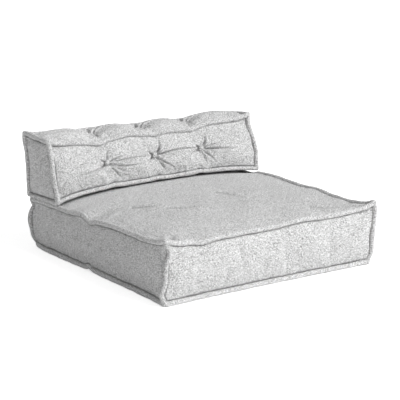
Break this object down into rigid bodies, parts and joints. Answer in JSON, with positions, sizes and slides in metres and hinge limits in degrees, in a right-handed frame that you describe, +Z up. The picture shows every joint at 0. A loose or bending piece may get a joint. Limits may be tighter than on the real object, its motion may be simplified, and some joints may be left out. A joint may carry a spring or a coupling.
{
  "type": "modular sofa unit",
  "caption": "Low armless floor sofa module: a square box cushion with rolled edges and a loose button-tufted back cushion lying along its rear edge, in woven grey fabric.",
  "frame": {"origin": "middle of the flat underside, on the floor", "axes": "+Z up, -Y towards the front where the sitter faces, +X to the right seen from the front"},
  "size_m": [1.0118, 1.0177, 0.4704],
  "materials": {
    "cover": "coarse woven tweed",
    "edge_roll": "woven cover on a soft cord",
    "foam": "open-cell foam",
    "fibre": "loose fibre wadding",
    "button_cover": "woven cover, stretched",
    "twine": "twisted twine",
    "anchor": "moulded disc",
    "zip_tape": "woven tape",
    "zip_coil": "nylon coil",
    "zip_metal": "lacquered die casting"
  },
  "bodies": {
    "back": {"back_bottom_anchors": "anchor", "back_bottom_front_roll": "edge_roll", "back_bottom_left_roll": "edge_roll", "back_bottom_panel": "cover", "back_bottom_rear_roll": "edge_roll", "back_bottom_right_roll": "edge_roll", "back_fibre_core": "fibre", "back_front_buttons": "button_cover", "back_front_left_roll": "edge_roll", "back_front_panel": "cover", "back_front_right_roll": "edge_roll", "back_front_ties": "twine", "back_left_panel": "cover", "back_rear_anchors": "anchor", "back_rear_left_roll": "edge_roll", "back_rear_lower_panel": "cover", "back_rear_right_roll": "edge_roll", "back_rear_upper_panel": "cover", "back_right_panel": "cover", "back_top_buttons": "button_cover", "back_top_front_roll": "edge_roll", "back_top_left_roll": "edge_roll", "back_top_panel": "cover", "back_top_rear_roll": "edge_roll", "back_top_right_roll": "edge_roll", "back_top_ties": "twine", "back_zip_coil": "zip_coil", "back_zip_tape": "zip_tape"},
    "back_zip_pull": {"back_zip_pull": "zip_metal"},
    "back_zip_slider": {"back_zip_slider": "zip_metal"},
    "seat": {"seat_bottom_front_roll": "edge_roll", "seat_bottom_left_roll": "edge_roll", "seat_bottom_panel": "cover", "seat_bottom_rear_roll": "edge_roll", "seat_bottom_right_roll": "edge_roll", "seat_foam_core": "foam", "seat_front_left_roll": "edge_roll", "seat_front_panel": "cover", "seat_front_right_roll": "edge_roll", "seat_front_wadding": "fibre", "seat_left_panel": "cover", "seat_left_wadding": "fibre", "seat_rear_left_roll": "edge_roll", "seat_rear_lower_panel": "cover", "seat_rear_right_roll": "edge_roll", "seat_rear_upper_panel": "cover", "seat_rear_wadding": "fibre", "seat_right_panel": "cover", "seat_right_wadding": "fibre", "seat_top_front_roll": "edge_roll", "seat_top_left_roll": "edge_roll", "seat_top_panel": "cover", "seat_top_rear_roll": "edge_roll", "seat_top_right_roll": "edge_roll", "seat_top_wadding": "fibre", "seat_zip_coil": "zip_coil", "seat_zip_tape": "zip_tape"},
    "seat_zip_pull": {"seat_zip_pull": "zip_metal"},
    "seat_zip_slider": {"seat_zip_slider": "zip_metal"}
  },
  "joints": [
    {"name": "back_lift", "type": "slide", "parent": "seat", "child": "back", "axis": [0, 0, 1], "range_m": [0, 0.35]},
    {"name": "seat_zip_slide", "type": "slide", "parent": "seat", "child": "seat_zip_slider", "axis": [1, 0, 0], "range_m": [-0.86, 0]},
    {"name": "seat_pull_swing", "type": "hinge", "parent": "seat_zip_slider", "child": "seat_zip_pull", "pos_m": [0.434, 0.4932, 0.10715], "axis": [0, 0, -1], "range_deg": [0, 175]},
    {"name": "back_zip_slide", "type": "slide", "parent": "back", "child": "back_zip_slider", "axis": [1, 0, 0], "range_m": [-0.87, 0]},
    {"name": "back_pull_swing", "type": "hinge", "parent": "back_zip_slider", "child": "back_zip_pull", "pos_m": [0.439, 0.50791, 0.27435], "axis": [0, -0.0143, -0.9999], "range_deg": [0, 175]}
  ]
}
